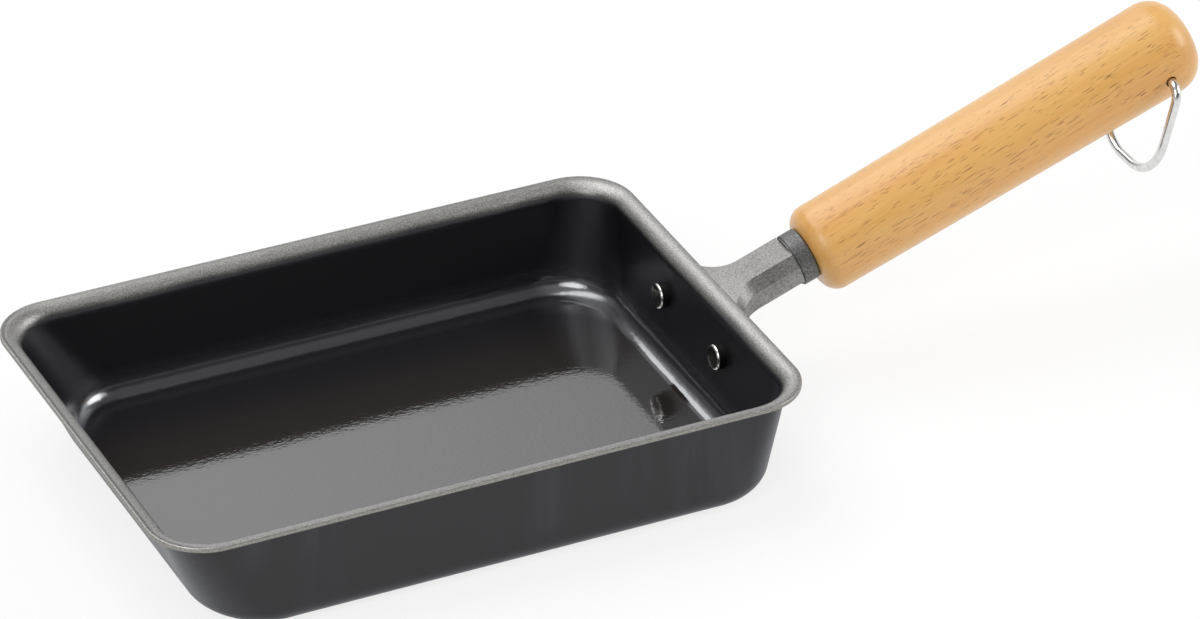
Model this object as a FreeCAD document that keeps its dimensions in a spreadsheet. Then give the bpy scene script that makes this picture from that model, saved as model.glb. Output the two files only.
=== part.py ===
import FreeCAD, Part
import os
import Sketcher
from FreeCAD import Placement, Rotation, Vector

# A rectangular omelette pan of pressed sheet steel: a flared lip, a sloped front wall, a cast bracket
# riveted to the rear wall, and a turned wooden grip with a wire hanging ring.
# The frame: +X runs along the handle, +Z is up, and the origin lies on the underside of the base,
# below the middle of the rim.

# The driving dimensions, in millimetres and degrees.
SIZES = (
    # Pan body
    ("rim_length", "190", "outer length of the lip, along the handle"),
    ("rim_width", "136", "outer width of the lip"),
    ("rim_corner", "16.5", "radius of the lip's outer corners"),
    ("pan_height", "33.6", "underside of the base to the top of the lip"),
    ("sheet_gauge", "1.4", "thickness of the pressed sheet"),
    ("lip_bend", "3.4", "inner radius of the lip's bend"),
    ("lip_flat", "0.6", "flat left at the lip's trimmed edge"),
    ("lip_edge", "0.35", "rounding of the trimmed edge"),
    ("front_draft", "23.4", "slope of the front wall from upright"),
    ("handle_draft", "4.4", "slope of the handle wall from upright"),
    ("side_draft", "0.7", "slope of the side walls from upright"),
    ("base_bend", "5.6", "inner radius of the bend into the base"),
    ("front_corner", "24", "radius of the front corners at the base"),
    ("rear_corner", "23.5", "radius of the corners beside the handle, at the base"),
    # Rivets
    ("rivet_pitch", "36", "distance between the two rivets"),
    ("rivet_drop", "14", "rivets below the top of the lip"),
    ("rivet_shank", "5", "diameter of a rivet's shank"),
    ("rivet_head", "7.4", "diameter of a rivet's heads"),
    ("rivet_band", "1.9", "straight side of a rivet's head"),
    ("rivet_edge", "0.8", "rounding of a rivet's head"),
    ("rivet_face", "14", "radius of the ball that a head's crowned face is part of"),
    ("rivet_fit", "0.05", "clearance round a rivet's shank"),
    # Bracket
    ("flange_gauge", "5.5", "thickness of the bracket's flange"),
    ("flange_end", "9.7", "radius of the flange's rounded ends"),
    ("flange_rise", "1.2", "middle of the flange above the rivets"),
    ("flange_bevel", "0.8", "bevel of the flange's upper edge, under the lip"),
    ("root_gauge", "8.3", "thickness of the flange where the shank grows out of it"),
    ("shank_width", "15.2", "width of the bracket's eight-sided shank"),
    ("shank_top", "5.8", "shank's axis to its top face"),
    ("shank_under", "5.1", "shank's axis to its underside"),
    ("facet_side", "2.4", "part of the shank's width that a facet takes"),
    ("facet_drop", "3.4", "part of the shank's height that a facet takes"),
    ("flare_side", "4.6", "how far the flare widens each side of the shank"),
    ("flare_radius", "7.5", "radius of the flare from shank to flange"),
    # Handle line
    ("handle_rise", "20.1", "rise of the handle from level"),
    ("grip_reach", "29.4", "lip's outer edge to the grip's front face"),
    ("grip_drop", "0.37", "middle of the grip's front below the lip's top"),
    ("shank_lift", "1.3", "axis of the shank above the grip's axis"),
    # Ferrule and stud
    ("ferrule_length", "5.3", "length of the ferrule"),
    ("ferrule_diameter", "15.4", "outer diameter of the ferrule"),
    ("ferrule_neck", "0.5", "length of the ferrule's narrow neck"),
    ("ferrule_step", "0.5", "depth of the ferrule's narrow neck"),
    ("ferrule_edge", "0.5", "chamfer of the ferrule's outer edge"),
    ("stud_diameter", "8", "diameter of the stud that carries the grip"),
    ("stud_in_shank", "14", "depth of the stud in the shank"),
    ("stud_in_grip", "72", "depth of the stud in the grip"),
    ("stud_edge", "1", "chamfer of the stud's ends"),
    ("stud_fit", "0.1", "clearance round the stud"),
    ("stud_spare", "2", "bore left free past each end of the stud"),
    # Grip
    ("grip_length", "125", "length of the wooden grip"),
    ("grip_front", "25.8", "diameter of the grip at its front"),
    ("grip_tail", "27.8", "diameter of the grip at its tail"),
    ("grip_front_round", "5", "rounding of the grip's front edge"),
    ("grip_tail_round", "8.7", "rounding of the grip's tail"),
    # Hanging ring
    ("wire_diameter", "2.6", "diameter of the ring's wire"),
    ("ring_play", "0.35", "clearance round the wire in its hole"),
    ("hole_inset", "12.5", "ring's hole from the grip's tail"),
    ("hole_drop", "2", "ring's hole below the grip's axis"),
    ("eye_bend", "4.3", "radius of the bend beside the hole, at the wire's middle"),
    ("ring_depth", "30.9", "hole to the ring's far bar"),
    ("ring_taper", "6.2", "lean of each leg towards the other"),
    ("ring_corner", "13.8", "radius of the ring's far corners"),
    ("ring_tuck", "8", "wire that lies inside the hole on each side"),
    ("ring_lean", "10.3", "lean of the hanging ring towards the pan"),
    # Making
    ("overrun", "5", "how far a cut runs past what it cuts"),
)

# What follows from them. A wall's run is the level distance from the lip's outer edge to the wall's
# outer face, where that face would meet the underside of the lip.
PLACES = (
    # Pan body
    ("half_length", "Sizes.rim_length / 2"),
    ("half_width", "Sizes.rim_width / 2"),
    ("lip_under", "Sizes.pan_height - Sizes.sheet_gauge"),
    ("front_run", "Sizes.lip_flat + Sizes.lip_bend * tan(45 - Sizes.front_draft / 2)"),
    ("handle_run", "Sizes.lip_flat + Sizes.lip_bend * tan(45 - Sizes.handle_draft / 2)"),
    ("side_run", "Sizes.lip_flat + Sizes.lip_bend * tan(45 - Sizes.side_draft / 2)"),
    ("front_wall", "Sizes.sheet_gauge * tan(45 - Sizes.front_draft / 2)"),
    ("handle_wall", "Sizes.sheet_gauge * tan(45 - Sizes.handle_draft / 2)"),
    ("side_wall", "Sizes.sheet_gauge * tan(45 - Sizes.side_draft / 2)"),
    ("front_slope", "lip_under * tan(Sizes.front_draft)"),
    ("handle_slope", "lip_under * tan(Sizes.handle_draft)"),
    ("side_slope", "lip_under * tan(Sizes.side_draft)"),
    ("top_corner", "Sizes.rim_corner - side_run"),
    # Bracket's frame: the handle wall's outer face at the height of the rivets
    ("rivet_height", "Sizes.pan_height - Sizes.rivet_drop"),
    ("seat", "half_length - handle_run - (lip_under - rivet_height) * tan(Sizes.handle_draft)"),
    ("tilt", "Sizes.handle_rise + Sizes.handle_draft"),
    # Handle's frame: the middle of the grip's front face
    ("grip_x", "half_length + Sizes.grip_reach"),
    ("grip_z", "Sizes.pan_height - Sizes.grip_drop"),
    ("shank_x", "grip_x - Sizes.shank_lift * sin(Sizes.handle_rise)"
                " - Sizes.ferrule_length * cos(Sizes.handle_rise)"),
    ("shank_z", "grip_z + Sizes.shank_lift * cos(Sizes.handle_rise)"
                " - Sizes.ferrule_length * sin(Sizes.handle_rise)"),
    # The shank's end in the bracket's frame
    ("end_x", "(shank_x - seat) * cos(Sizes.handle_draft)"
              " - (shank_z - rivet_height) * sin(Sizes.handle_draft)"),
    ("end_z", "(shank_x - seat) * sin(Sizes.handle_draft)"
              " + (shank_z - rivet_height) * cos(Sizes.handle_draft)"),
    ("axis_z", "end_z - end_x * tan(tilt)"),
    ("top_rise", "Sizes.shank_top / cos(tilt)"),
    ("under_drop", "Sizes.shank_under / cos(tilt)"),
    ("flare_half", "Sizes.shank_width / 2 + Sizes.flare_side"),
    ("flare_length", "sqrt(2 * Sizes.flare_radius * Sizes.flare_side - Sizes.flare_side ^ 2)"),
    ("past_end", "end_x + 2 * Sizes.shank_top + Sizes.overrun"),
    ("block_top", "axis_z + past_end * tan(tilt) + top_rise + Sizes.overrun"),
    ("flange_low", "Sizes.flange_rise - Sizes.flange_end"),
    # Rivet's head: its face is a ball's cap that runs smoothly into the rounding of its edge
    ("edge_middle", "Sizes.rivet_head / 2 - Sizes.rivet_edge"),
    ("ball_reach", "Sizes.rivet_face - Sizes.rivet_edge"),
    ("ball_depth", "sqrt(ball_reach ^ 2 - edge_middle ^ 2)"),
    ("face_rise", "Sizes.rivet_face - ball_depth"),
    ("join_rise", "Sizes.rivet_edge * ball_depth / ball_reach"),
    ("join_radius", "Sizes.rivet_face * edge_middle / ball_reach"),
    # Ring, in a frame with its middle on the hole's axis
    ("hole_x", "Sizes.grip_length - Sizes.hole_inset"),
    ("grip_there", "(Sizes.grip_front + (Sizes.grip_tail - Sizes.grip_front)"
                   " * (hole_x - Sizes.grip_front_round)"
                   " / (Sizes.grip_length - Sizes.grip_front_round - Sizes.grip_tail_round)) / 2"),
    ("grip_at_hole", "sqrt(grip_there ^ 2 - Sizes.hole_drop ^ 2)"),
    ("ring_x", "grip_x + hole_x * cos(Sizes.handle_rise) + Sizes.hole_drop * sin(Sizes.handle_rise)"),
    ("ring_z", "grip_z + hole_x * sin(Sizes.handle_rise) - Sizes.hole_drop * cos(Sizes.handle_rise)"),
    ("leg_top_y", "grip_at_hole + Sizes.eye_bend * cos(Sizes.ring_taper)"),
    ("leg_top_z", "-Sizes.eye_bend * (1 + sin(Sizes.ring_taper))"),
    ("leg_low_z", "Sizes.ring_corner * (1 - sin(Sizes.ring_taper)) - Sizes.ring_depth"),
    ("leg_low_y", "leg_top_y - (leg_top_z - leg_low_z) * tan(Sizes.ring_taper)"),
    ("bar_y", "leg_low_y - Sizes.ring_corner * cos(Sizes.ring_taper)"),
    ("tuck_y", "grip_at_hole - Sizes.ring_tuck"),
)

# Where along an edge its points are tested.
sample_shares = (0, 0.3, 0.6, 1)

doc = FreeCAD.newDocument("omelette_pan")


def fill_sheets():
    """Writes the driving dimensions and what follows from them into two sheets with aliases."""
    sizes = doc.addObject("Spreadsheet::Sheet", "Sizes")
    for row, (alias, number, note) in enumerate(SIZES, start=1):
        sizes.set(f"A{row}", alias)
        sizes.set(f"B{row}", number)
        sizes.setAlias(f"B{row}", alias)
        sizes.set(f"C{row}", note)
    doc.recompute()
    places = doc.addObject("Spreadsheet::Sheet", "Places")
    for row, (alias, formula) in enumerate(PLACES, start=1):
        places.set(f"A{row}", alias)
        places.setAlias(f"B{row}", alias)
        places.set(f"B{row}", "=" + formula)
    doc.recompute()


def new_body(label):
    """An empty body with the label that names its file."""
    body = doc.addObject("PartDesign::Body", label)
    body.Label = label
    return body


def place(body, x, z, y="0", turn="0"):
    """Puts a body at x, y, z and turns it about the Y axis, all bound to the sheets."""
    body.Placement = Placement(Vector(), Rotation(Vector(0, 1, 0), 1))
    for axis, formula in (("x", x), ("y", y), ("z", z)):
        body.setExpression(f"Placement.Base.{axis}", formula)
    body.setExpression("Placement.Rotation.Angle", turn)


def new_sketch(body, name, role, across="0", up="0", out="0", tip="0"):
    """A sketch on one of the body's own planes, moved in that plane's axes and tipped about its first."""
    plane = next(item for item in body.Origin.OriginFeatures if item.Role == role)
    sketch = body.newObject("Sketcher::SketchObject", name)
    sketch.AttachmentSupport = (plane, [""])
    sketch.MapMode = "FlatFace"
    sketch.AttachmentOffset = Placement(Vector(), Rotation(Vector(1, 0, 0), 1))
    for axis, formula in (("x", across), ("y", up), ("z", out)):
        sketch.setExpression(f"AttachmentOffset.Base.{axis}", formula)
    sketch.setExpression("AttachmentOffset.Rotation.Angle", tip)
    return sketch


def bind(sketch, constraint, formula):
    """Adds a constraint whose value follows a formula."""
    index = sketch.addConstraint(constraint)
    sketch.setExpression(f"Constraints[{index}]", formula)


def arc_between(start, end, radius):
    """The arc of under a half turn from start to end: a positive radius turns left, a negative one right."""
    chord = end - start
    left = Vector(-chord.y, chord.x, 0).normalize()
    reach = (radius * radius - chord.Length ** 2 / 4) ** 0.5
    centre = (start + end) / 2 + left * (reach if radius > 0 else -reach)
    first, last = (start, end) if radius > 0 else (end, start)
    axis = Vector(1, 0, 0)
    angles = [axis.getAngle(p - centre) * (1 if p.y >= centre.y else -1) for p in (first, last)]
    return Part.ArcOfCircle(Part.Circle(centre, Vector(0, 0, 1), abs(radius)), *angles)


def outline(sketch, corners, arcs=None, closed=True):
    """Draws lines and arcs through corners that are pairs of formulas.

    arcs maps the number of a corner to the radius of the arc that leaves it, as a formula, with a minus
    sign where the arc turns right."""
    arcs = arcs or {}
    points = [Vector(*(float(sketch.evalExpression(term)) for term in corner), 0) for corner in corners]
    count = len(points) if closed else len(points) - 1
    ends = []
    for number in range(count):
        start, end = points[number], points[(number + 1) % len(points)]
        if number not in arcs:
            edge = sketch.addGeometry(Part.LineSegment(start, end), False)
            ends.append((edge, 1, 2))
            continue
        radius = float(sketch.evalExpression(arcs[number]))
        edge = sketch.addGeometry(arc_between(start, end, radius), False)
        ends.append((edge, 1, 2) if radius > 0 else (edge, 2, 1))
        bind(sketch, Sketcher.Constraint("Radius", edge, abs(radius)), f"abs({arcs[number]})")
    for number, (edge, head, tail) in enumerate(ends):
        for kind, term, value in zip(("DistanceX", "DistanceY"), corners[number], points[number]):
            bind(sketch, Sketcher.Constraint(kind, -1, 1, edge, head, value), term)
        if closed or number + 1 < count:
            after, after_head, _ = ends[(number + 1) % count]
            sketch.addConstraint(Sketcher.Constraint("Coincident", edge, tail, after, after_head))
        else:
            for kind, term, value in zip(("DistanceX", "DistanceY"), corners[-1], points[-1]):
                bind(sketch, Sketcher.Constraint(kind, -1, 1, edge, tail, value), term)


def circle(sketch, x, y, diameter):
    """Draws a circle whose middle and diameter follow formulas."""
    middle = Vector(*(float(sketch.evalExpression(term)) for term in (x, y)), 0)
    width = float(sketch.evalExpression(diameter))
    edge = sketch.addGeometry(Part.Circle(middle, Vector(0, 0, 1), width / 2), False)
    bind(sketch, Sketcher.Constraint("Diameter", edge, width), diameter)
    for kind, term, value in (("DistanceX", x, middle.x), ("DistanceY", y, middle.y)):
        bind(sketch, Sketcher.Constraint(kind, -1, 1, edge, 3, value), term)


def rounded_box(sketch, left, right, half, left_corner, right_corner):
    """Draws a rectangle with rounded corners, from left to right and half to each side of the X axis."""
    corners = [(f"{right} - {right_corner}", f"-({half})"), (right, f"{right_corner} - ({half})"),
               (right, f"{half} - {right_corner}"), (f"{right} - {right_corner}", half),
               (f"{left} + {left_corner}", half), (left, f"{half} - {left_corner}"),
               (left, f"{left_corner} - ({half})"), (f"{left} + {left_corner}", f"-({half})")]
    outline(sketch, corners, {0: right_corner, 2: right_corner, 4: left_corner, 6: left_corner})


def feature(body, kind, name, sketch=None, **bound):
    """A feature of the body on a sketch, with the properties in bound following formulas."""
    item = body.newObject(f"PartDesign::{kind}", name)
    if sketch is not None:
        item.Profile = (sketch, [""])
    for key, formula in bound.items():
        item.setExpression(key, formula)
    return item


def cut(body, name, sketch, length, both_ways=False, flip=False):
    """A pocket that has to take some of the body away."""
    doc.recompute()
    before = body.Shape.Volume
    pocket = feature(body, "Pocket", name, sketch, Length=length)
    pocket.Midplane = both_ways
    pocket.Reversed = flip
    doc.recompute()
    if not body.Shape.Volume < before:
        raise RuntimeError(f"{name} of {body.Label} cuts nothing")


def edges_where(body, test):
    """The names of the body's edges whose points all pass a test, with the names its last feature gives."""
    doc.recompute()
    names = []
    for number, edge in enumerate(body.Tip.Shape.Edges, start=1):
        first, last = edge.ParameterRange
        samples = [edge.valueAt(first + (last - first) * share) for share in sample_shares]
        if all(test(point) for point in samples):
            names.append(f"Edge{number}")
    return names


def round_edges(body, name, test, radius):
    """Rounds the edges whose points all pass a test."""
    names = edges_where(body, test)
    base = body.Tip
    fillet = feature(body, "Fillet", name, Radius=radius)
    fillet.Base = (base, names)
    doc.recompute()


def number(formula):
    """The value that a formula on the sheets has now."""
    return float(doc.getObject("Places").evalExpression(formula))


def level(formula):
    """A test for points at a height that a formula gives."""
    height = number(formula)
    near = number("Sizes.sheet_gauge") / 100

    def found(point):
        return abs(point.z - height) < near
    return found


def loft_between(body, kind, name, lower, upper):
    """A ruled loft between two sketches."""
    item = feature(body, kind, name, lower)
    item.Sections = [(upper, [""])]
    item.Ruled = True
    doc.recompute()


def make_pan_body():
    """The pressed shell: four sloped walls on a flat base, with a lip bent outwards all round."""
    body = new_body("pan_body")
    place(body, "0", "0")
    runs = "{sign}(Places.half_length - Places.{wall}_run{more})"

    def box(name, out, more, front_corner, rear_corner):
        """One level outline of the walls; more is what each wall gives up further to its run."""
        sketch = new_sketch(body, name, "XY_Plane", out=out)
        left = runs.format(sign="-", wall="front", more=more.format(wall="front"))
        right = runs.format(sign="", wall="handle", more=more.format(wall="handle"))
        half = "(Places.half_width - Places.side_run" + more.format(wall="side") + ")"
        rounded_box(sketch, left, right, half, front_corner, rear_corner)
        return sketch

    lip_under, mouth = level("Places.lip_under"), level("Sizes.pan_height")
    inside = number("Places.half_width - Sizes.lip_flat / 2")
    reach = number("Places.half_length - Sizes.lip_flat / 2")

    def within_lip(point):
        """Whether a point lies inside the lip's trimmed edge."""
        return abs(point.y) < inside and abs(point.x) < reach

    def wall_line(point):
        """Whether a point lies where the walls meet the underside of the lip."""
        return lip_under(point) and within_lip(point)

    def mouth_line(point):
        """Whether a point lies where the cavity meets the top of the lip."""
        return mouth(point) and within_lip(point)

    def trimmed(point):
        """Whether a point lies on the lip's trimmed edge."""
        return (mouth(point) or lip_under(point)) and not within_lip(point)

    outer_low = box("outer_low", "0", " - Places.{wall}_slope", "Sizes.front_corner", "Sizes.rear_corner")
    outer_top = box("outer_top", "Places.lip_under", "", "Places.top_corner", "Places.top_corner")
    loft_between(body, "AdditiveLoft", "outer_walls", outer_low, outer_top)

    rim = new_sketch(body, "rim", "XY_Plane", out="Places.lip_under")
    rounded_box(rim, "-Places.half_length", "Places.half_length", "Places.half_width",
                "Sizes.rim_corner", "Sizes.rim_corner")
    feature(body, "Pad", "lip_plate", rim, Length="Sizes.sheet_gauge")
    round_edges(body, "lip_underside", wall_line, "Sizes.lip_bend")

    inner_low = box("inner_low", "Sizes.sheet_gauge", " - Places.{wall}_slope - Places.{wall}_wall",
                    "(Sizes.front_corner - Sizes.sheet_gauge)", "(Sizes.rear_corner - Sizes.sheet_gauge)")
    inner_corner = "(Places.top_corner - Sizes.sheet_gauge)"
    inner_top = box("inner_top", "Sizes.pan_height", " - Places.{wall}_wall", inner_corner, inner_corner)
    loft_between(body, "SubtractiveLoft", "cavity", inner_low, inner_top)
    round_edges(body, "inner_base_bend", level("Sizes.sheet_gauge"), "Sizes.base_bend")
    round_edges(body, "outer_base_bend", level("0"), "Sizes.base_bend + Sizes.sheet_gauge")
    round_edges(body, "lip_top", mouth_line, "Sizes.lip_bend + Sizes.sheet_gauge")
    round_edges(body, "lip_trim", trimmed, "Sizes.lip_edge")

    holes = new_sketch(body, "rivet_holes", "YZ_Plane", up="Places.rivet_height", out="Places.seat",
                       tip="Sizes.handle_draft")
    for side in ("-", ""):
        circle(holes, f"{side}Sizes.rivet_pitch / 2", "0", "Sizes.rivet_shank + 2 * Sizes.rivet_fit")
    cut(body, "rivet_bores", holes, "2 * (Sizes.sheet_gauge + Sizes.overrun)", both_ways=True)
    return body


def make_bracket():
    """The casting: a flange against the handle wall that flares into an eight-sided, rising shank."""
    body = new_body("handle_bracket")
    place(body, "Places.seat", "Places.rivet_height", turn="Sizes.handle_draft")
    half = "Sizes.shank_width / 2"
    root = "(Sizes.root_gauge + Places.flare_length)"

    plan = new_sketch(body, "shank_plan", "XY_Plane", out="Places.flange_low")
    near_side = [("0", "-Places.flare_half"), ("Sizes.root_gauge", "-Places.flare_half"),
                 (root, f"-{half}"), ("Places.past_end", f"-{half}")]
    far_side = [("Places.past_end", half), (root, half),
                ("Sizes.root_gauge", "Places.flare_half"), ("0", "Places.flare_half")]
    outline(plan, near_side + far_side, {1: "-Sizes.flare_radius", 5: "-Sizes.flare_radius"})
    feature(body, "Pad", "shank_block", plan, Length="Places.block_top - Places.flange_low")

    slot = new_sketch(body, "flange_outline", "YZ_Plane")
    low, high = "Places.flange_low", "Sizes.flange_rise + Sizes.flange_end"
    rivet, tip_y = "Sizes.rivet_pitch / 2", "(Sizes.rivet_pitch / 2 + Sizes.flange_end)"
    outline(slot, [(f"-{rivet}", low), (rivet, low), (tip_y, "Sizes.flange_rise"), (rivet, high),
                   (f"-{rivet}", high), (f"-{tip_y}", "Sizes.flange_rise")],
            {1: "Sizes.flange_end", 2: "Sizes.flange_end", 4: "Sizes.flange_end", 5: "Sizes.flange_end"})
    feature(body, "Pad", "flange", slot, Length="Sizes.flange_gauge")

    wide = "2 * (Sizes.rivet_pitch + Sizes.flange_end)"
    start, stop = "-Sizes.overrun", "(Places.past_end + Sizes.overrun)"
    above = new_sketch(body, "above_shank", "XZ_Plane")
    top = "Places.axis_z + {x} * tan(Places.tilt) + Places.top_rise"
    roof = "Places.block_top + Sizes.overrun"
    bevel = "Sizes.flange_bevel"
    edge = top.format(x=bevel) + " - 2 * Sizes.flange_bevel"
    outline(above, [(start, edge), ("0", edge), (bevel, top.format(x=bevel)),
                    (stop, top.format(x=stop)), (stop, roof), (start, roof)])
    cut(body, "top_face", above, wide, both_ways=True)
    below = new_sketch(body, "below_shank", "XZ_Plane")
    under = "Places.axis_z + {x} * tan(Places.tilt) - Places.under_drop"
    floor, face = "Places.flange_low - Sizes.overrun", "Sizes.flange_gauge"
    outline(below, [(face, floor), (stop, floor), (stop, under.format(x=stop)), (face, under.format(x=face))])
    cut(body, "under_face", below, wide, both_ways=True)

    end = dict(up="Places.end_z", out="Places.end_x", tip="-Places.tilt")
    past = new_sketch(body, "past_end", "YZ_Plane", **end)
    rounded_box(past, "-Sizes.shank_width", "Sizes.shank_width", "2 * Sizes.shank_top", half, half)
    cut(body, "end_face", past, "Places.past_end", flip=True)

    facet_edges(body)
    bore = new_sketch(body, "stud_bore", "YZ_Plane", **end)
    circle(bore, "0", "0", "Sizes.stud_diameter + 2 * Sizes.stud_fit")
    cut(body, "stud_socket", bore, "Sizes.stud_in_shank + Sizes.stud_spare")
    holes = new_sketch(body, "rivet_holes", "YZ_Plane")
    for side in ("-", ""):
        circle(holes, f"{side}{rivet}", "0", "Sizes.rivet_shank + 2 * Sizes.rivet_fit")
    cut(body, "rivet_bores", holes, "Sizes.flange_gauge + Sizes.overrun", flip=True)
    return body


def facet_edges(body):
    """Cuts the facets along the shank's upper and lower edges, out to the flange."""
    tilt, axis, side = number("tan(Places.tilt)"), number("Places.axis_z"), number("Sizes.shank_width / 2")
    near = number("Sizes.sheet_gauge") / 100
    face = number("Sizes.flange_gauge")

    def on_long_edge(rise):
        """A test for points where a side of the shank, or its flare, meets the top or the underside."""
        def found(point):
            on_face = abs(point.z - axis - point.x * tilt - rise) < near
            return on_face and abs(point.y) > side - near and point.x > face - near
        return found

    for name, rise in (("upper_facets", "Places.top_rise"), ("lower_facets", "-Places.under_drop")):
        names = edges_where(body, on_long_edge(number(rise)))
        base = body.Tip
        facets = feature(body, "Chamfer", name, Size="Sizes.facet_side", Size2="Sizes.facet_drop")
        facets.ChamferType = "Two distances"
        facets.Base = (base, names)
        doc.recompute()


def revolve(body, name, corners, arcs=None):
    """Turns an outline in the XZ plane about the body's X axis."""
    sketch = new_sketch(body, f"{name}_outline", "XZ_Plane")
    outline(sketch, corners, arcs)
    turned = feature(body, "Revolution", name, sketch)
    turned.ReferenceAxis = (sketch, ["H_Axis"])
    turned.Angle = 360


def make_rivet(label, side):
    """A solid rivet: a crowned head inside the pan, its shank, and a second head on the flange."""
    body = new_body(label)
    place(body, "Places.seat", "Places.rivet_height", y=f"{side}Sizes.rivet_pitch / 2",
          turn="Sizes.handle_draft")
    head, shank = "Sizes.rivet_head / 2", "Sizes.rivet_shank / 2"
    inner, outer = "-Sizes.sheet_gauge", "Sizes.flange_gauge"
    band, join = "Sizes.rivet_band", "Places.join_radius"
    corners = [(f"{inner} - {band} - Places.face_rise", "0"), (f"{inner} - {band} - Places.join_rise", join),
               (f"{inner} - {band}", head), (inner, head), (inner, shank), (outer, shank), (outer, head),
               (f"{outer} + {band}", head), (f"{outer} + {band} + Places.join_rise", join),
               (f"{outer} + {band} + Places.face_rise", "0")]
    face, edge = "-Sizes.rivet_face", "-Sizes.rivet_edge"
    revolve(body, "rivet", corners, {0: face, 1: edge, 7: edge, 8: face})
    return body


def make_ferrule():
    """The collar between the shank and the wood, with a narrow neck on the shank's side."""
    body = new_body("ferrule")
    place(body, "Places.shank_x", "Places.shank_z", turn="-Sizes.handle_rise")
    outside, inside = "Sizes.ferrule_diameter / 2", "Sizes.stud_diameter / 2 + Sizes.stud_fit"
    neck = f"{outside} - Sizes.ferrule_step"
    corners = [("0", inside), ("0", neck), ("Sizes.ferrule_neck", neck), ("Sizes.ferrule_neck", outside),
               ("Sizes.ferrule_length - Sizes.ferrule_edge", outside),
               ("Sizes.ferrule_length", f"{outside} - Sizes.ferrule_edge"), ("Sizes.ferrule_length", inside)]
    revolve(body, "collar", corners)
    return body


def make_stud():
    """The hidden steel stud that joins the shank to the wood."""
    body = new_body("grip_stud")
    place(body, "Places.shank_x", "Places.shank_z", turn="-Sizes.handle_rise")
    radius, edge = "Sizes.stud_diameter / 2", "Sizes.stud_edge"
    start, stop = "-Sizes.stud_in_shank", "(Sizes.ferrule_length + Sizes.stud_in_grip)"
    corners = [(start, "0"), (start, f"{radius} - {edge}"), (f"{start} + {edge}", radius),
               (f"{stop} - {edge}", radius), (stop, f"{radius} - {edge}"), (stop, "0")]
    revolve(body, "stud", corners)
    return body


def make_grip():
    """The turned wooden grip, bored for the stud and cross-drilled for the hanging ring."""
    body = new_body("wooden_grip")
    place(body, "Places.grip_x", "Places.grip_z", turn="-Sizes.handle_rise")
    front, tail, length = "Sizes.grip_front / 2", "Sizes.grip_tail / 2", "Sizes.grip_length"
    front_round, tail_round = "Sizes.grip_front_round", "Sizes.grip_tail_round"
    corners = [("0", "0"), ("0", f"{front} - {front_round}"), (front_round, front),
               (f"{length} - {tail_round}", tail), (length, f"{tail} - {tail_round}"), (length, "0")]
    revolve(body, "turned_wood", corners, {1: f"-{front_round}", 3: f"-{tail_round}"})
    bore = new_sketch(body, "stud_bore", "YZ_Plane")
    circle(bore, "0", "Sizes.shank_lift", "Sizes.stud_diameter + 2 * Sizes.stud_fit")
    cut(body, "stud_socket", bore, "Sizes.stud_in_grip + Sizes.stud_spare", flip=True)
    hole = new_sketch(body, "ring_hole", "XZ_Plane")
    circle(hole, "Places.hole_x", "-Sizes.hole_drop", "Sizes.wire_diameter + 2 * Sizes.ring_play")
    cut(body, "ring_bore", hole, "Sizes.grip_tail + Sizes.overrun", both_ways=True)
    return body


def make_ring():
    """The hanging ring: one bent wire whose two ends turn in the grip's cross hole."""
    body = new_body("hanging_ring")
    place(body, "Places.ring_x", "Places.ring_z", turn="Sizes.ring_lean")
    path = new_sketch(body, "ring_path", "YZ_Plane")
    half = [("Places.tuck_y", "0"), ("Places.grip_at_hole", "0"), ("Places.leg_top_y", "Places.leg_top_z"),
            ("Places.leg_low_y", "Places.leg_low_z"), ("Places.bar_y", "-Sizes.ring_depth")]
    near_half = [(f"-{y}", z) for y, z in half]
    outline(path, near_half + half[::-1], {1: "Sizes.eye_bend", 3: "Sizes.ring_corner",
                                           5: "Sizes.ring_corner", 7: "Sizes.eye_bend"}, closed=False)
    section = new_sketch(body, "wire_section", "XZ_Plane", out="Places.tuck_y")
    circle(section, "0", "0", "Sizes.wire_diameter")
    doc.recompute()
    wire = feature(body, "AdditivePipe", "wire", section)
    wire.Spine = (path, [f"Edge{index + 1}" for index in range(len(path.Shape.Edges))])
    return body


def check_and_export(bodies):
    """Stops at anything that failed, then writes each sub-part's shape to its own file."""
    doc.recompute()
    for item in doc.Objects:
        if {"Invalid", "Error"} & set(item.State):
            raise RuntimeError(f"{item.Label} failed: {item.State}")
    for body in bodies:
        if body.Shape.isNull() or not body.Shape.isValid() or len(body.Shape.Solids) != 1:
            raise RuntimeError(f"{body.Label} is not one sound solid")
    os.makedirs("parts", exist_ok=True)
    for body in bodies:
        body.Shape.exportStep(f"parts/{body.Label}.step")
        print(f"{body.Label}: {body.Shape.Volume:.1f} mm3")


fill_sheets()
check_and_export([
    make_pan_body(),
    make_bracket(),
    make_rivet("rivet_left", "-"),
    make_rivet("rivet_right", ""),
    make_ferrule(),
    make_stud(),
    make_grip(),
    make_ring(),
])
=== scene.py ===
"""Dresses the omelette pan: coated sheet steel, a blasted casting, a beech grip and a bright wire ring.

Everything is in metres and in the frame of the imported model, with +X along the handle and +Z up.
"""

import logging
import math
from dataclasses import dataclass
from enum import Enum

import bpy
from mathutils import Matrix, Vector

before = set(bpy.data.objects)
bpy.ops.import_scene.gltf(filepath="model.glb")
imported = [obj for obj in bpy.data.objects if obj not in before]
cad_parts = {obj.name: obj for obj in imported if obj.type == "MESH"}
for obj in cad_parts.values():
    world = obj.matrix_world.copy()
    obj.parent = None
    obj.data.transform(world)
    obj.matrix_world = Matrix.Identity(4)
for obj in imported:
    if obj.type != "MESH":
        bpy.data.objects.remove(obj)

LOG = logging.getLogger("omelette_pan")

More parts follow.
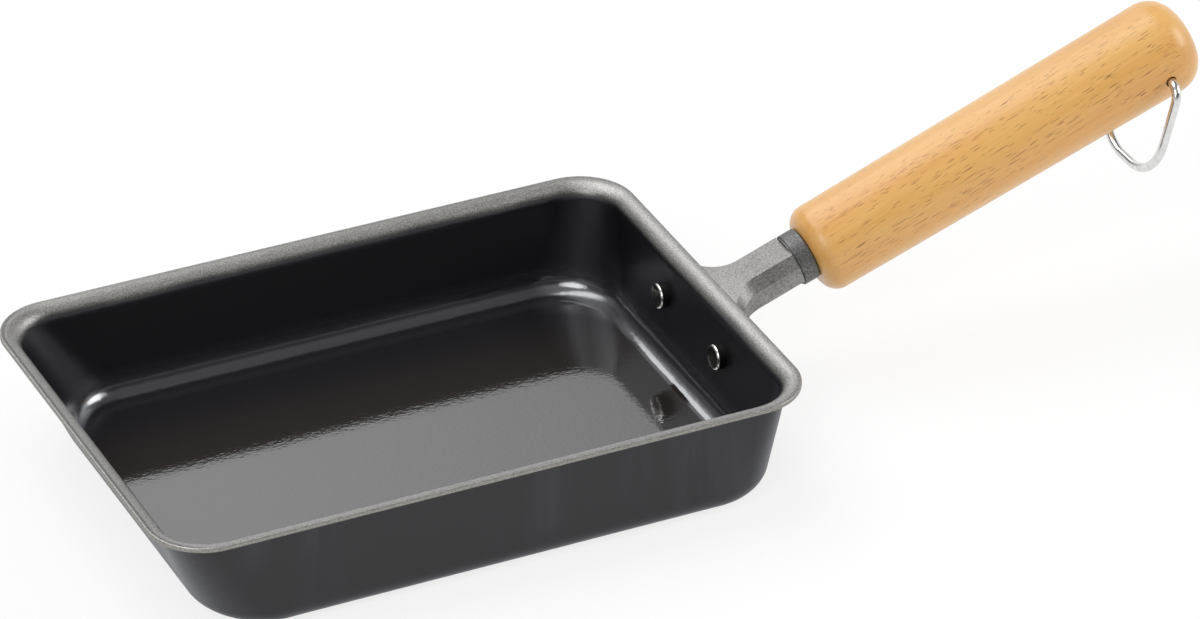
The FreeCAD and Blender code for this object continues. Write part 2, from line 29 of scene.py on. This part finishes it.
Socket = bpy.types.NodeSocket
Number = float | Socket
Pair = tuple[float, float]
Triple = tuple[float, float, float]
Colour = tuple[float, float, float]
Tones = tuple[Colour, Colour]

# Stretches of a noise's range: most of it, its middle, and a narrower middle that gives a harder grain
MOST: Pair = (0.2, 0.8)
MIDDLE: Pair = (0.3, 0.7)
HARD: Pair = (0.34, 0.66)
HALFWAY = 0.5

# Places of the Mix node's sockets
MIX_SHARE = 0
MIX_NUMBERS = (2, 3)
MIX_COLOURS = (6, 7)
MIXED_NUMBER = 0
MIXED_COLOUR = 2

WHITE: Colour = (1.0, 1.0, 1.0)


class Sum(Enum):
    """The steps of arithmetic that the finishes and the room use."""

    ADD = "ADD"
    SUBTRACT = "SUBTRACT"
    MULTIPLY = "MULTIPLY"
    POWER = "POWER"
    ROOT = "SQRT"
    LARGER = "MAXIMUM"
    SMALLER = "MINIMUM"
    UNSIGNED = "ABSOLUTE"


def opaque(colour: Colour) -> tuple[float, ...]:
    """Adds full opacity to a colour."""
    return (*colour, 1.0)


class Graph:
    """A node tree, with short calls for the nodes that the finishes and the room use."""

    def __init__(self, tree: bpy.types.NodeTree) -> None:
        """Takes the tree to work on."""
        self.tree = tree

    def node(self, kind: str, **settings: object) -> bpy.types.Node:
        """Adds a node.

        Args:
            kind: The node's type.
            settings: Properties to set on it.

        Returns:
            The new node.
        """
        made = self.tree.nodes.new(kind)
        for key, value in settings.items():
            setattr(made, key, value)
        return made

    def feed(self, socket: Socket, value: object) -> None:
        """Links a socket into an input, or sets the input's own value.

        Args:
            socket: The input.
            value: An output socket, a number, or a tuple of numbers.
        """
        if isinstance(value, Socket):
            self.tree.links.new(value, socket)
        else:
            socket.default_value = value

    def parts(self, vector: Socket) -> tuple[Socket, ...]:
        """Splits a vector.

        Args:
            vector: The vector.

        Returns:
            Its X, Y and Z.
        """
        split = self.node("ShaderNodeSeparateXYZ")
        self.feed(split.inputs["Vector"], vector)
        return tuple(split.outputs)

    def math(self, operation: Sum, first: Number, second: Number = 0.0) -> Socket:
        """Adds one step of arithmetic.

        Args:
            operation: What is done.
            first: Its first value.
            second: Its second value.

        Returns:
            The result.
        """
        step = self.node("ShaderNodeMath", operation=operation.value)
        self.feed(step.inputs[0], first)
        self.feed(step.inputs[1], second)
        return step.outputs["Value"]

    def remap(self, value: Socket, low: float, high: float, first: float = 0.0, last: float = 1.0) -> Socket:
        """Takes a value from one range into another, with soft ends.

        Args:
            value: The value.
            low: Where the result is first.
            high: Where the result is last.
            first: The result at low.
            last: The result at high.

        Returns:
            The result.
        """
        ranged = self.node("ShaderNodeMapRange", interpolation_type="SMOOTHSTEP")
        keys = ("Value", "From Min", "From Max", "To Min", "To Max")
        for key, item in zip(keys, (value, low, high, first, last)):
            self.feed(ranged.inputs[key], item)
        return ranged.outputs["Result"]

    def choose(self, share: Number, first: Number, second: Number) -> Socket:
        """Mixes two numbers.

        Args:
            share: How much of the second number there is.
            first: A number or an output.
            second: A number or an output.

        Returns:
            The mixed number.
        """
        mixed = self.node("ShaderNodeMix", data_type="FLOAT")
        self.feed(mixed.inputs[MIX_SHARE], share)
        for spot, item in zip(MIX_NUMBERS, (first, second)):
            self.feed(mixed.inputs[spot], item)
        return mixed.outputs[MIXED_NUMBER]


class FinishGraph(Graph):
    """A material's node tree and its shader."""

    def __init__(self, name: str) -> None:
        """Starts a material.

        Args:
            name: The material's name.
        """
        self.material = bpy.data.materials.new(name)
        self.material.use_nodes = True
        super().__init__(self.material.node_tree)
        self.shader = self.tree.nodes["Principled BSDF"]

    def place(self) -> Socket:
        """Gives the object coordinates."""
        return self.node("ShaderNodeTexCoord").outputs["Object"]

    def outward(self) -> Socket:
        """Gives the surface's normal in the object's own frame."""
        return self.node("ShaderNodeTexCoord").outputs["Normal"]

    def stretched(self, vector: Socket, scale: Triple) -> Socket:
        """Multiplies coordinates, each by its own number.

        Args:
            vector: The coordinates.
            scale: The three numbers.

        Returns:
            The stretched coordinates.
        """
        stretch = self.node("ShaderNodeMapping", vector_type="POINT")
        self.feed(stretch.inputs["Vector"], vector)
        self.feed(stretch.inputs["Scale"], scale)
        return stretch.outputs["Vector"]

    def along(self, vector: Socket, start: Triple, turn: float, scale: Triple) -> Socket:
        """Takes coordinates into a frame that is moved and turned about Y, then stretches them.

        Args:
            vector: The coordinates.
            start: The frame's own origin.
            turn: The frame's turn about Y, in radians.
            scale: What each of the frame's coordinates is multiplied by.

        Returns:
            The stretched coordinates.
        """
        turned = self.node("ShaderNodeMapping", vector_type="TEXTURE")
        self.feed(turned.inputs["Vector"], vector)
        self.feed(turned.inputs["Location"], start)
        self.feed(turned.inputs["Rotation"], (0.0, turn, 0.0))
        return self.stretched(turned.outputs["Vector"], scale)

    def noise(self, vector: Socket, scale: float, detail: float = 2.0, roughness: float = 0.5) -> Socket:
        """Adds fractal noise.

        Args:
            vector: The coordinates it reads.
            scale: Grains to the metre.
            detail: Number of finer layers.
            roughness: How strong the finer layers are.

        Returns:
            The noise, from 0 to 1 about 0.5.
        """
        grain = self.node("ShaderNodeTexNoise")
        keys = ("Vector", "Scale", "Detail", "Roughness")
        for key, item in zip(keys, (vector, scale, detail, roughness)):
            self.feed(grain.inputs[key], item)
        return grain.outputs["Fac"]

    def swing(self, noise: Socket, reach: float) -> Socket:
        """Turns noise into a distance to either side of 0, with its whole reach in metres."""
        return self.math(Sum.MULTIPLY, self.math(Sum.SUBTRACT, noise, HALFWAY), reach)

    def blend(self, share: Number, first: object, second: object) -> Socket:
        """Mixes two colours.

        Args:
            share: How much of the second colour there is.
            first: A colour or a colour output.
            second: A colour or a colour output.

        Returns:
            The mixed colour.
        """
        mixed = self.node("ShaderNodeMix", data_type="RGBA")
        self.feed(mixed.inputs[MIX_SHARE], share)
        for spot, colour in zip(MIX_COLOURS, (first, second)):
            self.feed(mixed.inputs[spot], colour if isinstance(colour, Socket) else opaque(colour))
        return mixed.outputs[MIXED_COLOUR]

    def relief(self, height: Socket, depth: float) -> None:
        """Raises the surface by a height from 0 to 1.

        Args:
            height: The height.
            depth: What a height of 1 stands for, in metres.
        """
        bump = self.node("ShaderNodeBump")
        self.feed(bump.inputs["Height"], height)
        self.feed(bump.inputs["Distance"], depth)
        self.feed(self.shader.inputs["Normal"], bump.outputs["Normal"])

    def set(self, **values: object) -> None:
        """Feeds the shader's inputs; an underscore in a name stands for a space."""
        for key, value in values.items():
            self.feed(self.shader.inputs[key.replace("_", " ")], value)


@dataclass(frozen=True)
class HandleLine:
    """The handle's axis, which the grip, the ferrule and the stud share."""

    start: Triple = (0.1244, 0.0, 0.03323)
    rise: float = math.radians(20.1)


@dataclass(frozen=True)
class CoatedSheet:
    """The pan's sheet: a dark glossy coat inside, a bare grained lip, and a dark satin outside.

    The coat mirrors by its refractive index, so its own colour shows only where it mirrors something dark.
    """

    # Colours
    wall: Colour = (0.0062, 0.0058, 0.009)
    base: Tones = ((0.0115, 0.0112, 0.0145), (0.025, 0.0212, 0.019))
    bare: Tones = ((0.235, 0.231, 0.225), (0.485, 0.48, 0.466))
    # painted shade: the lip's cut edge and its other sideways-facing parts get these darker tones
    shaded_cut_edge: Tones = ((0.21, 0.205, 0.182), (0.4, 0.393, 0.36))
    outside: Tones = ((0.05, 0.05, 0.052), (0.066, 0.067, 0.073))
    score: Colour = (0.05, 0.048, 0.044)
    tint: Colour = (0.96, 0.97, 1.0)
    index: float = 2.7

    # Where one surface turns into the next: places along the pan, across it and above its underside
    half_length: float = 0.095
    half_width: float = 0.068
    corner: float = 0.0165
    middle: Triple = (0.0, 0.0, 0.055)
    turn_over: Pair = (-0.0008, 0.0008)
    base_top: Pair = (0.0018, 0.00145)
    browning: Pair = (0.058, 0.024)
    front: Pair = (-0.08, -0.09)
    front_wear: float = 0.0014
    lip_fade: Pair = (0.03, 0.0326)
    lip_power: float = 1.3
    lip_underside: Pair = (0.0309, 0.0317)
    # how far up the normal points where the lip's painted shade on sideways faces gives way to its bare top
    cut_edge_shade_turn: Pair = (0.25, 0.8)

    # The line scored into the lip: its distance from the edge, and its strength off and on the front
    score_line: Pair = (-0.0011, -0.0006)
    score_soft: float = 0.0003
    score_share: Pair = (0.15, 0.55)

    # Grain, streaks and the coat's faint waves
    grain_scale: float = 2600.0
    grain_reach: float = 0.0016
    wander_scale: float = 38.0
    wander_reach: float = 0.0022
    streak_scale: Triple = (75.0, 75.0, 7.0)
    streak_range: Pair = (0.4, 0.7)
    patch_scale: float = 22.0
    patch_range: Pair = (0.4, 0.65)
    wave_scale: Triple = (700.0, 1100.0, 1100.0)
    depth: float = 0.000018

    # Roughness, and the share of metal in the walls' coat above the bend
    base_rough: float = 0.065
    wall_bend: Pair = (0.004, 0.011)
    wall_rough: Pair = (0.2, 0.32)
    outside_rough: Pair = (0.36, 0.42)
    lip_rough: Pair = (0.42, 0.54)
    metal_bend: Pair = (0.005, 0.011)
    wall_metal: Pair = (0.0, 0.6)

    def edge_distance(self, graph: FinishGraph, place: Socket) -> Socket:
        """Measures how far a point lies from the lip's outer edge, seen from above.

        Args:
            graph: The material's graph.
            place: The object coordinates.

        Returns:
            The distance, below 0 inside the edge.
        """
        along, across, _ = graph.parts(place)
        past = [graph.math(Sum.SUBTRACT, graph.math(Sum.UNSIGNED, side), half - self.corner)
                for side, half in ((along, self.half_length), (across, self.half_width))]
        beyond = [graph.math(Sum.LARGER, side, 0.0) for side in past]
        squares = [graph.math(Sum.MULTIPLY, side, side) for side in beyond]
        round_corner = graph.math(Sum.ROOT, graph.math(Sum.ADD, *squares))
        straight = graph.math(Sum.SMALLER, graph.math(Sum.LARGER, *past), 0.0)
        return graph.math(Sum.SUBTRACT, graph.math(Sum.ADD, round_corner, straight), self.corner)

    def inward(self, graph: FinishGraph, place: Socket, normal: Socket) -> Socket:
        """Tells the inside of the sheet from its outside.

        Args:
            graph: The material's graph.
            place: The object coordinates.
            normal: The surface's normal.

        Returns:
            1 where the surface faces the pan's middle, and 0 where it faces away.
        """
        towards = graph.node("ShaderNodeVectorMath", operation="SUBTRACT")
        graph.feed(towards.inputs[0], self.middle)
        graph.feed(towards.inputs[1], place)
        facing = graph.node("ShaderNodeVectorMath", operation="DOT_PRODUCT")
        graph.feed(facing.inputs[0], normal)
        graph.feed(facing.inputs[1], towards.outputs["Vector"])
        return graph.remap(facing.outputs["Value"], *self.turn_over)

    def scored(self, graph: FinishGraph, place: Socket, front: Socket) -> Socket:
        """Draws the line that runs round the lip near its edge.

        Args:
            graph: The material's graph.
            place: The object coordinates.
            front: 1 on the front lip and 0 elsewhere.

        Returns:
            The line's strength.
        """
        distance = self.edge_distance(graph, place)
        inner, outer = self.score_line
        line = graph.math(Sum.MULTIPLY, graph.remap(distance, inner - self.score_soft, inner),
                          graph.remap(distance, outer + self.score_soft, outer))
        return graph.math(Sum.MULTIPLY, line, graph.choose(front, *self.score_share))

    def material(self) -> bpy.types.Material:
        """Makes the layered material.

        Returns:
            The material.
        """
        graph = FinishGraph("coated_sheet")
        place, normal = graph.place(), graph.outward()
        along, across, height = graph.parts(place)
        inside = self.inward(graph, place, normal)
        front = graph.remap(along, *self.front)
        grain = graph.noise(place, self.grain_scale, detail=3.0, roughness=0.75)
        wander = graph.noise(place, self.wander_scale)
        streaks = graph.noise(graph.stretched(place, self.streak_scale), 1.0, detail=5.0, roughness=0.62)
        patches = graph.noise(place, self.patch_scale, detail=1.0)
        waves = graph.noise(graph.stretched(place, self.wave_scale), 1.0, detail=1.0)

        # How much of the lip's bare metal shows
        worn = graph.math(Sum.ADD, height, graph.math(Sum.MULTIPLY, front, self.front_wear))
        ragged = graph.math(Sum.ADD, graph.swing(wander, self.wander_reach),
                            graph.swing(grain, self.grain_reach))
        edge = graph.math(Sum.ADD, worn, ragged)
        lip_inside = graph.math(Sum.POWER, graph.remap(edge, *self.lip_fade), self.lip_power)
        lip = graph.choose(inside, graph.remap(height, *self.lip_underside), lip_inside)

        # Colours of the coat, the outside and the lip
        base = graph.remap(height, *self.base_top)
        browned = graph.blend(graph.remap(across, *self.browning), *self.base)
        coat = graph.blend(base, self.wall, browned)
        streak = graph.math(Sum.MULTIPLY, graph.remap(streaks, *self.streak_range),
                            graph.remap(patches, *self.patch_range))
        walls = graph.blend(inside, graph.blend(streak, *self.outside), coat)
        shade = graph.remap(grain, *HARD)
        top = graph.blend(self.scored(graph, place, front), graph.blend(shade, *self.bare), self.score)
        # painted shade: where the lip faces sideways rather than up, it takes the darker cut-edge tones
        # instead of the bare ones
        upward = graph.remap(graph.parts(normal)[2], *self.cut_edge_shade_turn)
        bright = graph.blend(upward, graph.blend(shade, *self.shaded_cut_edge), top)

        # Gloss
        bend_rough = graph.remap(height, *self.wall_bend, *self.wall_rough)
        coat_rough = graph.choose(base, bend_rough, self.base_rough)
        wall_rough = graph.choose(inside, graph.remap(streaks, *MIDDLE, *self.outside_rough), coat_rough)
        rough = graph.choose(lip, wall_rough, graph.remap(grain, *MOST, *self.lip_rough))
        coat_metal = graph.remap(height, *self.metal_bend, *self.wall_metal)
        metal = graph.choose(inside, 1.0, graph.choose(lip, coat_metal, 1.0))
        graph.set(Base_Color=graph.blend(lip, walls, bright), Roughness=rough, Metallic=metal,
                  IOR=self.index, Specular_Tint=opaque(self.tint))
        graph.relief(graph.choose(lip, waves, grain), self.depth)
        return graph.material


@dataclass(frozen=True)
class BlastedCasting:
    """The bracket's grey casting, with a fine blasted grain."""

    dark: Colour = (0.142, 0.139, 0.136)
    light: Colour = (0.4, 0.392, 0.385)
    grain_scale: float = 1900.0
    grain_share: float = 0.75
    cloud_scale: float = 120.0
    cloud_share: float = 0.25
    rough: Pair = (0.42, 0.55)
    metal: float = 0.9
    depth: float = 0.00005

    def material(self) -> bpy.types.Material:
        """Makes the grained material.

        Returns:
            The material.
        """
        graph = FinishGraph("blasted_casting")
        place = graph.place()
        grain = graph.noise(place, self.grain_scale, detail=4.0, roughness=0.75)
        cloud = graph.noise(place, self.cloud_scale)
        shade = graph.math(Sum.ADD, graph.remap(grain, *HARD, 0.0, self.grain_share),
                           graph.remap(cloud, *MIDDLE, 0.0, self.cloud_share))
        graph.set(Base_Color=graph.blend(shade, self.dark, self.light), Metallic=self.metal,
                  Roughness=graph.remap(grain, *MIDDLE, *self.rough))
        graph.relief(grain, self.depth)
        return graph.material


@dataclass(frozen=True)
class TurnedSteel:
    """Mottled steel with fine turning marks round the handle's axis."""

    name: str
    line: HandleLine
    dark: Colour = (0.085, 0.086, 0.087)
    light: Colour = (0.265, 0.265, 0.262)
    marks: float = 5200.0
    marks_round: float = 60.0
    mottle_scale: float = 2300.0
    mottle_range: Pair = (0.35, 0.65)
    mottle_share: float = 0.7
    rough: Pair = (0.5, 0.62)
    depth: float = 0.00002

    def material(self) -> bpy.types.Material:
        """Makes the turned material.

        Returns:
            The material.
        """
        graph = FinishGraph(self.name)
        place = graph.place()
        turning = (self.marks, self.marks_round, self.marks_round)
        along_axis = graph.along(place, self.line.start, -self.line.rise, turning)
        mark = graph.noise(along_axis, 1.0, detail=2.0, roughness=0.6)
        mottle = graph.noise(place, self.mottle_scale, detail=3.0, roughness=0.6)
        shade = graph.choose(self.mottle_share, graph.remap(mark, *MIDDLE),
                             graph.remap(mottle, *self.mottle_range))
        graph.set(Base_Color=graph.blend(shade, self.dark, self.light), Metallic=1.0,
                  Roughness=graph.remap(mark, *MIDDLE, *self.rough))
        graph.relief(mark, self.depth)
        return graph.material


@dataclass(frozen=True)
class BrightWire:
    """The ring's bright wire, with a faint cloudiness."""

    dark: Colour = (0.66, 0.66, 0.655)
    light: Colour = (0.76, 0.76, 0.755)
    cloud_scale: float = 500.0
    rough: Pair = (0.16, 0.22)
    depth: float = 0.000002

    def material(self) -> bpy.types.Material:
        """Makes the polished material.

        Returns:
            The material.
        """
        graph = FinishGraph("bright_wire")
        cloud = graph.noise(graph.place(), self.cloud_scale, detail=3.0)
        graph.set(Base_Color=graph.blend(graph.remap(cloud, *MIDDLE), self.dark, self.light), Metallic=1.0,
                  Roughness=graph.remap(cloud, *MIDDLE, *self.rough))
        graph.relief(cloud, self.depth)
        return graph.material


@dataclass(frozen=True)
class RivetMetal:
    """A rivet's metal: the head's face painted dark as shade, its rounded rim painted bright as a highlight,
    and a dull side painted dark as shade.
    """

    # Painted light: the face's tones are painted dark as shade, the rim's colour is a painted highlight, and
    # the side is painted dark as shade
    shaded_crown: Tones = ((0.12, 0.118, 0.11), (0.19, 0.186, 0.175))
    highlight_shoulder: Colour = (0.8, 0.79, 0.76)
    side: Colour = (0.03, 0.029, 0.027)
    # where the side's painted shade ends and where the face's painted shade begins, by how far the surface
    # faces along the rivet
    highlight_start: Pair = (0.12, 0.4)
    shaded_face_start: Pair = (0.88, 0.96)
    cloud_scale: float = 700.0
    side_rough: float = 0.5
    rough: Pair = (0.14, 0.2)
    depth: float = 0.000002

    def material(self) -> bpy.types.Material:
        """Makes the material, whose zones follow how far the surface faces along the rivet.

        Returns:
            The material.
        """
        graph = FinishGraph("rivet_metal")
        cloud = graph.noise(graph.place(), self.cloud_scale, detail=3.0)
        # chosen by which way the surface faces: a painted highlight on the rim, and painted shade on the face
        # and on the side
        ahead = graph.math(Sum.UNSIGNED, graph.parts(graph.outward())[0])
        head_not_side = graph.remap(ahead, *self.highlight_start)
        dark = graph.blend(graph.remap(cloud, *MIDDLE), *self.shaded_crown)
        head = graph.blend(graph.remap(ahead, *self.shaded_face_start), self.highlight_shoulder, dark)
        graph.set(Base_Color=graph.blend(head_not_side, self.side, head), Metallic=1.0,
                  Roughness=graph.choose(head_not_side, self.side_rough, graph.remap(cloud, *MIDDLE, *self.rough)))
        graph.relief(cloud, self.depth)
        return graph.material


@dataclass(frozen=True)
class SatinBeech:
    """The grip's beech, with long soft bands and short dark flecks along the handle's axis."""

    line: HandleLine
    pale: Colour = (0.785, 0.456, 0.142)
    honey: Colour = (0.685, 0.328, 0.078)
    fleck: Colour = (0.27, 0.092, 0.014)

    # The grain's lean from the axis, and how finely each pattern is drawn along and across it
    lean: float = 0.06
    bands: Triple = (7.0, 95.0, 95.0)
    fibres: Triple = (40.0, 1500.0, 1500.0)
    flecks: Triple = (210.0, 4700.0, 4700.0)
    patches: Triple = (25.0, 120.0, 120.0)
    grain_rough: float = 0.55
    fibre_range: Pair = (0.25, 0.75)
    fibre_share: float = 0.35

    # Where flecks show: not at the rounded ends, more on two sides of the grip, and in loose patches
    head_end: Pair = (0.002, 0.008)
    tail_end: Pair = (0.122, 0.114)
    radius: float = 0.0132
    flat_side: Pair = (-0.82, 0.57)
    side_range: Pair = (0.5, 0.9)
    side_effect: Pair = (-0.08, 0.01)
    patch_range: Pair = (0.35, 0.7)
    patch_effect: Pair = (0.03, -0.03)
    fleck_range: Pair = (0.72, 0.76)
    fleck_share: float = 0.9

    # Gloss and relief
    rough: Pair = (0.4, 0.5)
    fleck_rough: float = 0.6
    varnish: float = 0.6
    varnish_rough: float = 0.26
    fibre_height: float = 0.3
    depth: float = 0.00003

    def fleck_limit(self, graph: FinishGraph, across: Socket, over: Socket, patches: Socket) -> Socket:
        """Finds how readily flecks show.

        Args:
            graph: The material's graph.
            across: The distance from the axis across the pan.
            over: The distance from the axis square to that.
            patches: The noise of the loose patches.

        Returns:
            A number to add to the flecks' noise.
        """
        shares = [graph.math(Sum.MULTIPLY, reach, share / self.radius)
                  for reach, share in zip((across, over), self.flat_side)]
        turned = graph.math(Sum.UNSIGNED, graph.math(Sum.ADD, *shares))
        return graph.math(Sum.ADD, graph.remap(turned, *self.side_range, *self.side_effect),
                          graph.remap(patches, *self.patch_range, *self.patch_effect))

    def material(self) -> bpy.types.Material:
        """Makes the wood.

        Returns:
            The material.
        """
        graph = FinishGraph("satin_beech")
        place = graph.place()
        grain_turn = -self.line.rise - self.lean

        def grown(scale: Triple, detail: float) -> Socket:
            """Noise that is drawn out along the grain."""
            along_grain = graph.along(place, self.line.start, grain_turn, scale)
            return graph.noise(along_grain, 1.0, detail, self.grain_rough)

        bands, fibres = grown(self.bands, detail=3.0), grown(self.fibres, detail=2.0)
        flecks, patches = grown(self.flecks, detail=0.0), grown(self.patches, detail=1.0)
        tone = graph.choose(self.fibre_share, graph.remap(bands, *MIDDLE),
                            graph.remap(fibres, *self.fibre_range))
        wood = graph.blend(tone, self.honey, self.pale)

        along_axis = graph.along(place, self.line.start, -self.line.rise, (1.0, 1.0, 1.0))
        reach, across, over = graph.parts(along_axis)
        sides = graph.math(Sum.MULTIPLY, graph.remap(reach, *self.head_end),
                           graph.remap(reach, *self.tail_end))
        shown = graph.math(Sum.ADD, flecks, self.fleck_limit(graph, across, over, patches))
        fleck = graph.math(Sum.MULTIPLY, graph.remap(shown, *self.fleck_range), sides)

        rough = graph.choose(fleck, graph.remap(fibres, *MIDDLE, *self.rough), self.fleck_rough)
        graph.set(Base_Color=graph.blend(graph.math(Sum.MULTIPLY, fleck, self.fleck_share), wood, self.fleck),
                  Roughness=rough, Coat_Weight=self.varnish, Coat_Roughness=self.varnish_rough)
        raised = graph.math(Sum.MULTIPLY, fibres, self.fibre_height)
        graph.relief(graph.math(Sum.SUBTRACT, raised, fleck), self.depth)
        return graph.material


def dress(node: str, material: bpy.types.Material) -> None:
    """Gives a CAD node one material.

    Args:
        node: The node's name.
        material: The material.
    """
    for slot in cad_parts[node].material_slots:
        slot.material = material
    LOG.info("%s wears %s", node, material.name)


@dataclass(frozen=True)
class PanShell:
    """The pressed pan and its two rivets."""

    sheet: CoatedSheet = CoatedSheet()
    rivet: RivetMetal = RivetMetal()

    def dress(self) -> None:
        """Gives the sheet and the rivets their finishes."""
        dress("pan_body", self.sheet.material())
        rivets = self.rivet.material()
        for side in ("left", "right"):
            dress(f"rivet_{side}", rivets)


@dataclass(frozen=True)
class Handle:
    """The bracket, the ferrule, the stud and the wooden grip."""

    line: HandleLine = HandleLine()
    stud_marks: float = 1400.0

    def dress(self) -> None:
        """Gives each piece of the handle its finish."""
        dress("handle_bracket", BlastedCasting().material())
        dress("ferrule", TurnedSteel("turned_ferrule", self.line).material())
        dress("grip_stud", TurnedSteel("stud_steel", self.line, marks=self.stud_marks).material())
        dress("wooden_grip", SatinBeech(self.line).material())


@dataclass(frozen=True)
class HangingRing:
    """The bent wire at the grip's tail."""

    wire: BrightWire = BrightWire()

    def dress(self) -> None:
        """Gives the wire its bright finish."""
        dress("hanging_ring", self.wire.material())


@dataclass(frozen=True)
class Floor:
    """A pale paper floor that shows white and keeps a soft shadow."""

    half: float = 6.0
    drop: float = 0.0003
    paper: Colour = (0.9, 0.9, 0.9)
    white_share: float = 0.8

    def material(self) -> bpy.types.Material:
        """Makes the paper, which is mixed with plain white where it is seen or mirrored.

        Returns:
            The material.
        """
        graph = FinishGraph("floor_paper")
        paper = graph.node("ShaderNodeBsdfDiffuse")
        graph.feed(paper.inputs["Color"], opaque(self.paper))
        white = graph.node("ShaderNodeEmission")
        path = graph.node("ShaderNodeLightPath")
        seen = graph.math(Sum.LARGER, path.outputs["Is Camera Ray"], path.outputs["Is Glossy Ray"])
        seen = graph.math(Sum.LARGER, seen, path.outputs["Is Transmission Ray"])
        mixed = graph.node("ShaderNodeMixShader")
        graph.feed(mixed.inputs["Fac"], graph.math(Sum.MULTIPLY, seen, self.white_share))
        graph.feed(mixed.inputs[1], paper.outputs["BSDF"])
        graph.feed(mixed.inputs[2], white.outputs["Emission"])
        output = next(item for item in graph.tree.nodes if item.type == "OUTPUT_MATERIAL")
        graph.feed(output.inputs["Surface"], mixed.outputs["Shader"])
        graph.tree.nodes.remove(graph.shader)
        return graph.material

    def lay(self) -> None:
        """Lays the floor just below the pan."""
        bpy.ops.object.select_all(action="DESELECT")
        bpy.ops.mesh.primitive_plane_add(size=2 * self.half, location=(0.0, 0.0, -self.drop))
        floor = bpy.context.object
        floor.name = "studio_floor"
        floor.data.materials.append(self.material())


@dataclass(frozen=True)
class Room:
    """The room's own light: bright behind and round the pan, dimmer overhead, in front and in two corners.

    Each brightness is followed by the directions between which it turns into the next one.
    """

    ceiling: Pair = (0.43, 0.2)
    ceiling_across: Pair = (-0.1, 0.36)
    ceiling_up: Pair = (0.56, 0.64)
    front: float = 0.1
    front_ahead: Pair = (-0.6, 0.05)
    front_low: float = 0.7
    low_up: Pair = (0.1, 0.35)
    back_left: float = 0.2
    left_across: Pair = (-0.45, 0.0)
    back_right: float = 0.4
    right_across: Pair = (0.29, 0.47)
    right_up: Pair = (0.38, 0.47)

    def light(self) -> None:
        """Lights the world, which is plain white where the camera itself sees it."""
        world = bpy.data.worlds.new("studio")
        bpy.context.scene.world = world
        world.use_nodes = True
        graph = Graph(world.node_tree)
        background = graph.tree.nodes["Background"]
        graph.feed(background.inputs["Color"], opaque(WHITE))
        across, ahead, up = graph.parts(graph.node("ShaderNodeTexCoord").outputs["Generated"])

        corner = graph.math(Sum.LARGER, graph.remap(across, *self.right_across, 1.0, self.back_right),
                            graph.remap(up, *self.right_up, 1.0, 0.0))
        behind = graph.math(Sum.MULTIPLY, graph.remap(ahead, *self.front_ahead, self.front, 1.0),
                            graph.remap(across, *self.left_across, self.back_left, 1.0))
        round_about = graph.math(Sum.LARGER, graph.math(Sum.MULTIPLY, behind, corner),
                                 graph.remap(up, *self.low_up, self.front_low, 0.0))
        overhead = graph.remap(across, *self.ceiling_across, *self.ceiling)
        room = graph.choose(graph.remap(up, *self.ceiling_up), round_about, overhead)
        path = graph.node("ShaderNodeLightPath")
        graph.feed(background.inputs["Strength"], graph.choose(path.outputs["Is Camera Ray"], room, 1.0))


@dataclass(frozen=True)
class SoftBox:
    """A round soft lamp."""

    name: str
    spot: Triple
    width: float
    watts: float

    def hang(self, aim: Vector) -> None:
        """Hangs the lamp.

        Args:
            aim: The point that it is turned towards.
        """
        lamp = bpy.data.lights.new(self.name, "AREA")
        lamp.shape = "DISK"
        lamp.size = self.width
        lamp.energy = self.watts
        stand = bpy.data.objects.new(self.name, lamp)
        turn = (aim - Vector(self.spot)).to_track_quat("-Z", "Y").to_matrix().to_4x4()
        stand.matrix_world = Matrix.Translation(self.spot) @ turn
        bpy.context.scene.collection.objects.link(stand)


@dataclass(frozen=True)
class PhotoCamera:
    """The photograph's viewpoint, as found from the rim's edges and the handle."""

    rim_height: float = 0.0336
    azimuth: float = math.radians(-25.151)
    elevation: float = math.radians(31.297)
    roll: float = math.radians(-0.094)
    right_shift: float = 0.054818
    up_shift: float = 0.012264
    distance: float = 1.958741
    lens: float = 216.0
    sensor: float = 36.0
    clip: Pair = (0.05, 50.0)

    def stand(self) -> None:
        """Puts the camera where the photograph was taken from."""
        camera = bpy.data.cameras.new("photo_camera")
        camera.lens = self.lens
        camera.sensor_width = self.sensor
        camera.clip_start, camera.clip_end = self.clip
        back = Vector((math.sin(self.azimuth) * math.cos(self.elevation),
                       -math.cos(self.azimuth) * math.cos(self.elevation), math.sin(self.elevation)))
        level = Vector((math.cos(self.azimuth), math.sin(self.azimuth), 0.0))
        right = level * math.cos(self.roll) + back.cross(level) * math.sin(self.roll)
        upward = back.cross(right)
        spot = (Vector((0.0, 0.0, self.rim_height)) + right * self.right_shift + upward * self.up_shift
                + back * self.distance)
        stand = bpy.data.objects.new("photo_camera", camera)
        axes = Matrix((right, upward, back)).transposed().to_4x4()
        stand.matrix_world = Matrix.Translation(spot) @ axes
        bpy.context.scene.collection.objects.link(stand)
        bpy.context.scene.camera = stand


@dataclass(frozen=True)
class Studio:
    """The floor, the light and the camera."""

    floor: Floor = Floor()
    room: Room = Room()
    camera: PhotoCamera = PhotoCamera()
    aim: Triple = (0.07, 0.0, 0.03)
    boxes: tuple[SoftBox, ...] = (
        SoftBox("left_box", (-1.0, -0.85, 1.0), 1.0, 9.0),
        SoftBox("right_box", (1.5, -0.6, 0.9), 1.0, 12.0),
        SoftBox("top_box", (-0.35, 0.5, 1.35), 1.4, 13.0),
        SoftBox("back_box", (0.04, 1.37, 1.22), 0.6, 2.0),
    )

    def build(self) -> None:
        """Makes the whole studio."""
        self.floor.lay()
        self.room.light()
        for box in self.boxes:
            box.hang(Vector(self.aim))
        self.camera.stand()
        bpy.context.scene.view_settings.view_transform = "Standard"


def main() -> None:
    logging.basicConfig(level=logging.INFO, format="%(name)s: %(message)s")
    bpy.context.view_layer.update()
    PanShell().dress()
    Handle().dress()
    HangingRing().dress()
    Studio().build()


if __name__ == "__main__":
    main()
